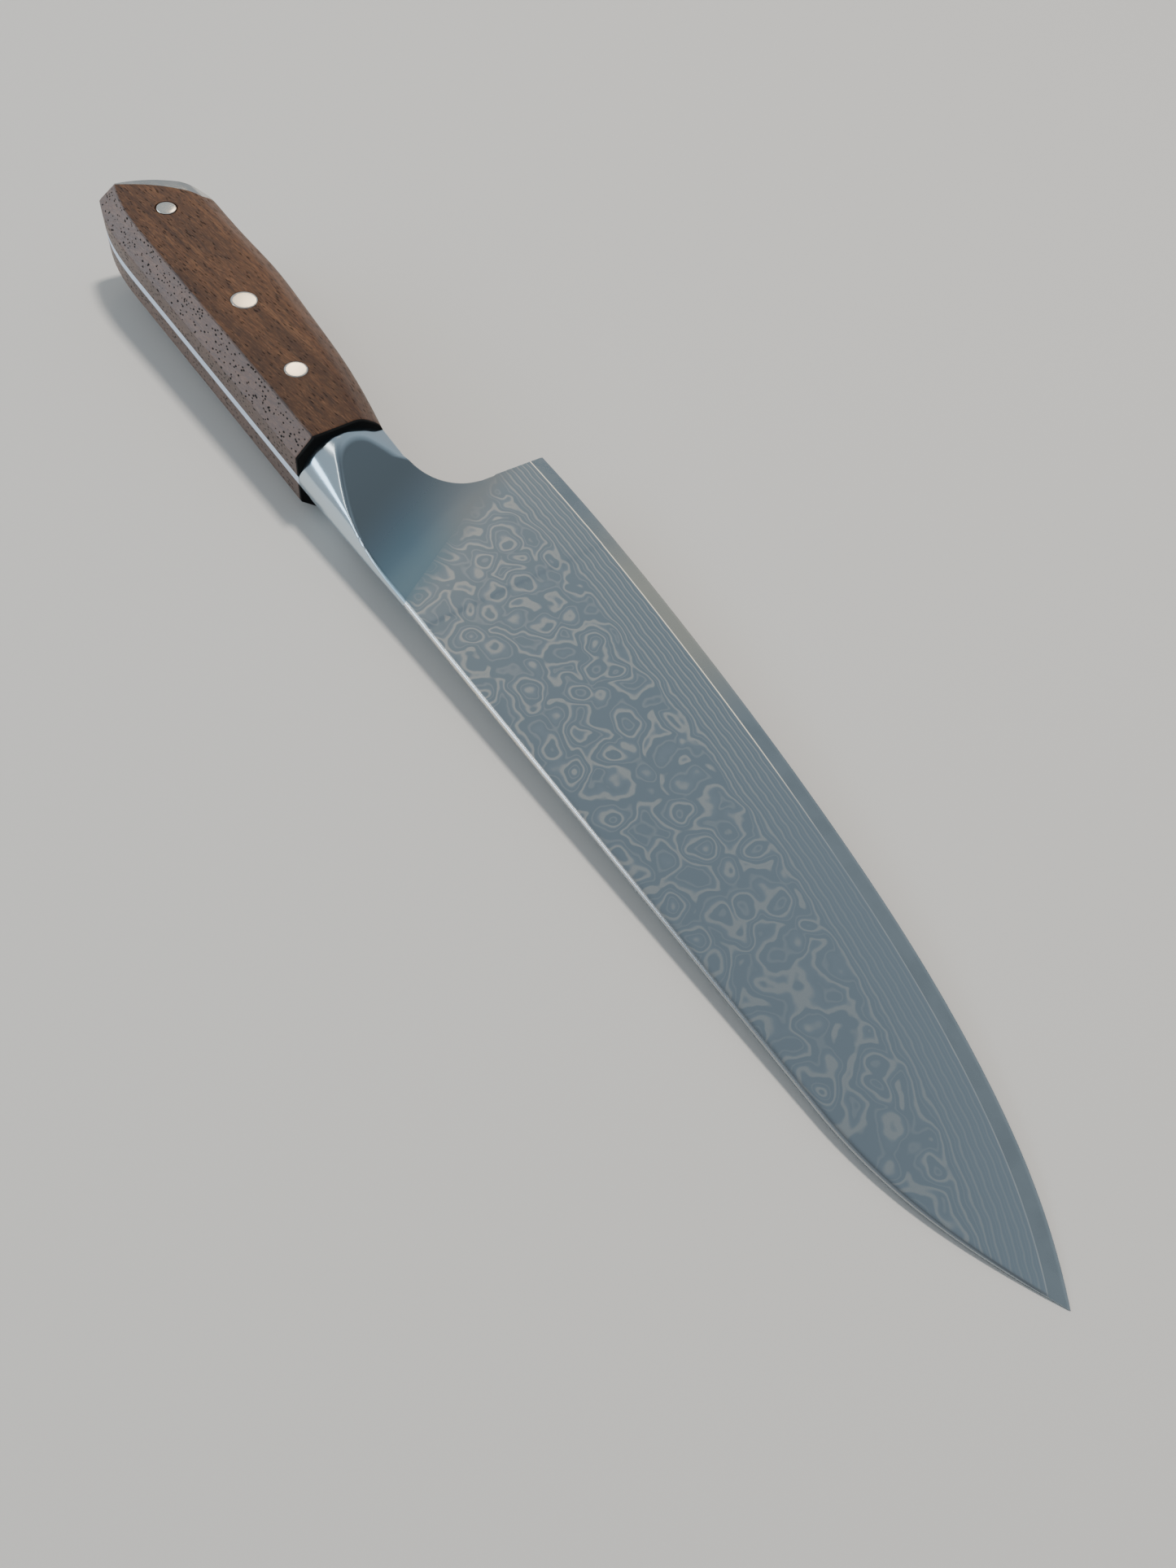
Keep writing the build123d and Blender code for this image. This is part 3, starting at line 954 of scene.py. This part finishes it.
def patterned_steel():
    """Etched laminated steel: nested rings over most of the face, wavy lines by the edge."""
    n = Nodes("pattern_steel")
    own = n.own()
    x, y, _ = n.split(own)
    edge = n.attribute("edge")
    flat = n.join(x, y, 0.0)
    # Rings: the layers' height is a field of soft bumps, pushed out of round.
    push = n.vector("SUBTRACT", n.noise(flat, 0.13, 1.0, 0.5, colour=True), (0.5, 0.5, 0.5))
    bent = n.vector("ADD", flat, n.stretched(push, (6.5, 6.5, 0)))
    cells = n.cells(bent, 0.15, smooth=0.28, random=0.8)
    cells = n.math("SQRT", n.plus(n.times(cells, cells), 0.012))
    soft = n.noise(bent, 0.13, 0.0, 0.5)
    field = n.plus(n.times(cells, 3.1), n.times(soft, 2.0))
    # Lines: near the edge the bumps calm down and the grind cuts through layer after layer.
    calm = n.range(edge, 11.0, 17.5, 0.07, 1.0)
    wave = n.times(n.minus(n.noise(flat, 0.3, 1.0, 0.5), 0.5), 0.55)
    ripple = n.plus(n.times(n.minus(field, 2.2), calm), wave)
    way = n.range(edge, 3.0, 15.0, 1.0, 0.0, smooth=False)
    slope = n.times(n.math("POWER", way, 1.25), -LAYERS_SEEN)
    layer = n.math("FRACT", n.plus(n.plus(ripple, slope), 0.1))
    speck = n.noise(own, 5.0, 2.0, 0.7)
    # Plain steel, with a painted blue reflection towards the spine.
    plain = n.mix(n.range(y, 9.0, 30.0), RICASSO_BLUE_SHEEN, RICASSO_GREY)
    forward = n.range(x, 70.0, 130.0)
    tone = n.ramp(layer, [
        (0.0, STEEL_LIGHT), (0.05, STEEL_LIGHT), (0.17, STEEL_BLUE), (0.36, STEEL_DARK),
        (0.44, STEEL_FAINT), (0.47, STEEL_FAINT), (0.55, STEEL_DARK), (0.84, STEEL_DARK),
        (0.93, STEEL_LIGHT), (1.0, STEEL_LIGHT),
    ])
    tone = n.mix(n.range(speck, 0.45, 0.7, 0.0, 0.22), tone, STEEL_BLUE)
    # The pattern is weaker towards the tip, and ends before the neck on a slant.
    weak = n.times(forward, n.range(edge, 8.0, 15.0, 0.7, 0.4))
    tone = n.mix(weak, tone, STEEL_BLUE)
    fade = n.plus(n.plus(x, n.times(y, 0.56)), n.times(wave, 6.0))
    tone = n.mix(n.range(fade, 20.0, 28.0), plain, tone)
    line = n.range(n.math("ABSOLUTE", n.minus(edge, SEAM)), 0.04, 0.2, 1.0, 0.0)
    line = n.times(line, n.range(forward, 0.0, 1.0, 1.0, 0.15))
    tone = n.mix(line, tone, SEAM_GOLD)
    # The spine's rounding is painted: a bright highlight near the heel, turning to dark shade towards
    # the tip.
    back = n.range(n.attribute("back"), 0.3, 0.75, 1.0, 0.0)
    tone = n.mix(back, tone, n.mix(forward, SPINE_PAINTED_HIGHLIGHT, SPINE_PAINTED_SHADE))
    n.set(Base_Color=tone, Metallic=n.minus(1.0, line))
    rough = n.range(speck, 0.3, 0.7, 0.32, 0.4)
    n.set(Roughness=n.minus(rough, n.times(back, 0.12)))
    n.bump(n.plus(layer, speck), 0.04, 0.00005)
    return n.material


WOOD_TONES = [
    (0.3, (0.055, 0.022, 0.01)), (0.46, (0.086, 0.036, 0.015)),
    (0.6, (0.122, 0.052, 0.022)), (0.75, (0.17, 0.079, 0.036)),
]
# A painted warm light towards the belly.
WOOD_WARM_LIGHT = (0.19, 0.082, 0.034)
WOOD_FRONT = (0.035, 0.016, 0.009)
WOOD_STREAK = (0.024, 0.012, 0.008)
WOOD_FIBRE = (0.024, 0.011, 0.008)
WOOD_PALE = (0.25, 0.125, 0.062)
# A painted grey sheen on the spine's bevel.
WOOD_BEVEL_SHEEN = (0.2, 0.145, 0.13)
WOOD_PORE = (0.004, 0.003, 0.002)
GRAIN_TURN = radians(-7)


def walnut():
    """Oiled walnut: long streaks a little off the handle's line, and open pores."""
    n = Nodes("walnut")
    own = n.own()
    turn = n.add("ShaderNodeVectorRotate", rotation_type="Z_AXIS")
    n.link(own, turn.inputs["Vector"])
    turn.inputs["Angle"].default_value = GRAIN_TURN
    place = turn.outputs[0]
    x, y, z = n.split(own)
    broad = n.noise(n.stretched(place, (0.05, 0.6, 0.6)), 0.5, 3.0, 0.55, warp=0.4)
    streak = n.noise(n.stretched(place, (0.16, 1.6, 1.6)), 1.0, 4.0, 0.7)
    fibre = n.noise(n.stretched(place, (0.55, 4.2, 4.2)), 1.0, 3.0, 0.75)
    # A painted pool of warm light towards the belly; darker towards the front.
    tone = n.ramp(broad, WOOD_TONES)
    tone = n.mix(n.range(y, 14.0, 27.0, 0.0, 0.5), tone, WOOD_WARM_LIGHT)
    tone = n.mix(n.range(x, -70.0, -30.0, 0.0, 0.4), tone, WOOD_FRONT)
    tone = n.mix(n.range(streak, 0.42, 0.68, 0.0, 0.8), tone, WOOD_STREAK)
    tone = n.mix(n.range(fibre, 0.48, 0.7, 0.0, 0.9), tone, WOOD_FIBRE)
    tone = n.mix(n.range(fibre, 0.48, 0.25, 0.0, 0.55), tone, WOOD_PALE)
    # The spine's bevel gets a painted grey sheen. There the pores are cut across and show as dots,
    # elsewhere as dashes.
    below_face = n.math("LESS_THAN", n.math("ABSOLUTE", z), HANDLE_HALF - 0.3)
    bevel = n.times(below_face, n.math("LESS_THAN", y, 8.0))
    tone = n.mix(n.times(bevel, 0.4), tone, WOOD_BEVEL_SHEEN)
    where = n.noise(own, 0.3, 2.0, 0.5)
    dots = n.cells(n.stretched(own, (0.74, 1.35, 1.35)), 1.0)
    dots = n.range(n.minus(dots, n.times(where, 0.43)), 0.0, 0.06, 1.0, 0.0)
    dashes = n.cells(n.stretched(place, (0.34, 1.5, 1.5)), 1.0)
    dashes = n.range(n.minus(dashes, n.times(where, 0.32)), 0.0, 0.1, 0.75, 0.0)
    pore = n.plus(n.times(dots, bevel), n.times(dashes, n.minus(1.0, bevel)))
    tone = n.mix(pore, tone, WOOD_PORE)
    rough = n.plus(n.range(fibre, 0.3, 0.8, 0.4, 0.52), n.times(pore, 0.45))
    n.set(Base_Color=tone, Roughness=rough)
    n.bump(n.minus(n.times(fibre, 0.5), pore), 0.45, 0.0002)
    return n.material


def forged():
    """The neck and bolster: polished, but as dull as the blade where they meet. The hollow's dark tone
    is painted shade, the facets' and belly wall's pale blue a painted highlight, and the tang's pale
    blue a painted sheen.
    """
    n = Nodes("forged_steel")
    own = n.own()
    x, y, _ = n.split(own)
    ground = n.attribute("ground")
    ahead = n.range(n.plus(x, n.times(y, 0.49)), -1.0, 17.0)
    lines = n.noise(n.stretched(own, (0.15, 1.5, 0.0)), 2.0, 3.0, 0.65)
    behind = n.math("LESS_THAN", x, SHOULDER - 0.3)
    # Plain steel, with a painted blue reflection towards the spine.
    plain = n.mix(n.range(y, 9.0, 30.0), RICASSO_BLUE_SHEEN, RICASSO_GREY)
    # The hollow's dark tone is painted shade, turning to the plain steel ahead.
    hollow = n.mix(ahead, SCOOP_PAINTED_SHADE, plain)
    # The neck's belly wall is polished too and gets the facets' painted highlight, which turns to the
    # blade's plain steel ahead.
    upright = n.split(n.add("ShaderNodeNewGeometry").outputs["Normal"])[2]
    wall = n.range(n.math("ABSOLUTE", upright), 0.3, 0.6, 1.0, 0.0)
    ground = n.times(ground, n.minus(1.0, wall))
    # Ahead and towards the belly the facets' painted highlight gives way to the plain steel.
    facet_highlight_fades = n.times(ahead, n.range(y, 9.0, 14.0))
    tone = n.mix(ground, n.mix(facet_highlight_fades, FACET_PAINTED_HIGHLIGHT, plain), hollow)
    # Behind the shoulder the tang is rougher steel, its pale blue a painted sheen.
    tone = n.mix(behind, tone, TANG_STEEL_AND_SHEEN)
    rough = n.plus(n.range(ahead, 0.0, 1.0, 0.2, 0.33), n.times(lines, 0.02))
    rough = n.times(rough, n.range(ground, 0.0, 1.0, 0.75, 1.0))
    rough = n.plus(rough, n.times(behind, 0.4))
    n.set(Base_Color=tone, Metallic=n.minus(1.0, n.times(behind, 0.5)), Roughness=rough)
    return n.material


def black_fibre():
    """Matt black liner with faint flecks."""
    n = Nodes("black_fibre")
    own = n.own()
    fleck = n.noise(own, 3.0, 3.0, 0.6)
    n.set(Base_Color=n.mix(fleck, (0.002, 0.002, 0.002), (0.006, 0.006, 0.006)), Roughness=0.85)
    n.shader.inputs["Specular IOR Level"].default_value = 0.2
    n.bump(fleck, 0.1, 0.0001)
    return n.material


PATTERN = patterned_steel()
# The bare strip carries a painted warm highlight.
CORE = brushed(
    "core_steel", (0.43, 0.48, 0.51), rough=0.27, across=(0.5, 0.03, 0.0), strength=0.0,
    glint=(0.82, 0.74, 0.6),
)
FORGED = forged()
CAP = brushed("cap_steel", (0.64, 0.62, 0.59), rough=0.16, across=(0.1, 1.0, 0.1))
RIVET = brushed(
    "rivet_steel", (0.92, 0.87, 0.79), rough=0.16, across=(1.0, 0.2, 1.0), strength=0.02
)
WOOD = walnut()
BLACK = black_fibre()


def put_values(obj, name, values):
    layer = obj.data.attributes.new(name, "FLOAT", "POINT")
    layer.data.foreach_set("value", values)


def put_edge_distance(obj):
    """Marks how far each point is from the cutting edge and from the spine."""
    x, y, _ = own_places(obj.data).T
    put_values(obj, "edge", inset(x, y))
    put_values(obj, "back", y - spine_y(x))


def put_ground_share(obj):
    """Marks where the wheel's hollow, rather than the polished facets, is the surface. The hollow is
    painted with shade, the facets with a highlight.
    """
    x, y, z = own_places(obj.data).T
    facets, scoop = steel_height(x, y, facets_only=True)
    share = np.clip((facets - scoop) / 0.8 + 0.1, 0, 1)
    # The belly side ahead counts as hollow, so it takes the painted shade, not the painted highlight.
    belly_side = np.clip((y - 8) / 6, 0, 1)
    share = np.maximum(share, belly_side * np.clip((x + 13) / 7, 0, 1))
    share[np.abs(z) < 0.6 * np.minimum(facets, scoop)] = 0  # the walls aren't ground
    put_values(obj, "ground", share)


# ---- the knife --------------------------------------------------------------------

finish_piece(build_core(), "blade_core", CORE)
for side, word in ((1, "left"), (-1, "right")):
    skin = build_cladding(side, word)
    put_edge_distance(skin)
    finish_piece(skin, "cladding_" + word, PATTERN)
    finish_piece(build_scale(side, word), "scale_" + word, WOOD)
    finish_piece(build_spacer(side, word), "spacer_" + word, BLACK)
bolster = build_bolster()
put_ground_share(bolster)
finish_piece(bolster, "bolster_tang", FORGED)
finish_piece(build_cap(), "end_cap", CAP)
for name, place, head, tube, shank in RIVETS:
    half = build_rivet_half(name + "_tube_half", place, 1, head, tube, RIVET_REACH["tube"], shank)
    finish_piece(half, name + "_rivet_tube", RIVET)
    half = build_rivet_half(name + "_shank_half", place, -1, head, shank, RIVET_REACH["shank"])
    finish_piece(half, name + "_rivet_shank", RIVET)
finish_piece(build_pin(), "rear_pin", RIVET)


# ---- floor, light and camera --------------------------------------------------------

FLOOR_HALF = 3


def plain_floor():
    n = Nodes("floor")
    n.set(Base_Color=(0.62, 0.60, 0.575, 1), Roughness=0.75)
    mesh = bpy.data.meshes.new("floor")
    corners = [(x * FLOOR_HALF, y * FLOOR_HALF, 0) for x, y in ((-1, -1), (1, -1), (1, 1), (-1, 1))]
    mesh.from_pydata(corners, [], [(0, 1, 2, 3)])
    obj = bpy.data.objects.new("floor", mesh)
    bpy.context.collection.objects.link(obj)
    mesh.materials.append(n.material)


def area_light(name, place, target, size, power, colour):
    """A soft rectangular light, aimed at a target."""
    data = bpy.data.lights.new(name, "AREA")
    data.shape = "RECTANGLE"
    data.size, data.size_y = size
    data.energy = power
    data.color = colour
    obj = bpy.data.objects.new(name, data)
    obj.location = place
    aim = Vector(target) - Vector(place)
    obj.rotation_euler = aim.to_track_quat("-Z", "Y").to_euler()
    bpy.context.collection.objects.link(obj)
    return obj


plain_floor()
# The key light makes the shadow, and the steel doesn't reflect it.
key = area_light("key", (-0.12, 0.42, 1.4), (0, 0, 0), (0.2, 0.2), 18, (1.0, 0.95, 0.88))
key.visible_glossy = False
area_light("side", (-1.0, -1.05, 0.56), (0, 0, 0), (2.0, 0.34), 9.5, (0.66, 0.84, 1.0))
area_light("strip", (-0.75, -0.62, 1.25), (0, 0, 0), (1.3, 0.1), 2.2, (1.0, 0.95, 0.88))
area_light("glow", (-1.13, 0.55, 1.0), (-0.06, 0, 0), (0.2, 0.2), 0.75, (1.0, 0.76, 0.5))

DOME_SHADES = [
    (0.0, (0.42, 0.44, 0.46)), (0.6, (0.4, 0.46, 0.5)),
    (0.86, (0.33, 0.37, 0.4)), (1.0, (0.14, 0.155, 0.17)),
]


def soft_dome():
    """A plain studio dome, paler at the horizon than overhead."""
    world = bpy.data.worlds.new("studio")
    bpy.context.scene.world = world
    world.use_nodes = True
    tree = world.node_tree
    ground = tree.nodes["Background"]
    place = tree.nodes.new("ShaderNodeTexCoord")
    parts = tree.nodes.new("ShaderNodeSeparateXYZ")
    ramp = tree.nodes.new("ShaderNodeValToRGB")
    tree.links.new(place.outputs["Generated"], parts.inputs[0])
    tree.links.new(parts.outputs["Z"], ramp.inputs[0])
    tree.links.new(ramp.outputs[0], ground.inputs["Color"])
    stops = ramp.color_ramp.elements
    stops.new(0.6)
    stops.new(0.88)
    for stop, (height, colour) in zip(stops, DOME_SHADES):
        stop.position, stop.color = height, (*colour, 1)
    ground.inputs["Strength"].default_value = 1.0


soft_dome()

# The camera looks down from beyond the spine, near the tip. Its places are in the knife's
# own frame.
CAMERA_SPOT = (164.6, -87.4, 196.6)
CAMERA_AIM = (79.51, 6.47, 0.0)
CAMERA_ROLL = radians(9.417)
LENS = 27.0514
lens = bpy.data.cameras.new("camera")
lens.sensor_width = 36.0
lens.lens = LENS
lens.clip_start = 0.01
camera = bpy.data.objects.new("camera", lens)
bpy.context.collection.objects.link(camera)
spot, aim = (Vector(place) for place in laid([CAMERA_SPOT, CAMERA_AIM]))
turn = (aim - spot).to_track_quat("-Z", "Y").to_matrix().to_4x4()
roll = Matrix.Rotation(CAMERA_ROLL, 4, "Z")
camera.matrix_world = Matrix.Translation(spot) @ turn @ roll
bpy.context.scene.camera = camera

bpy.context.view_layer.update()
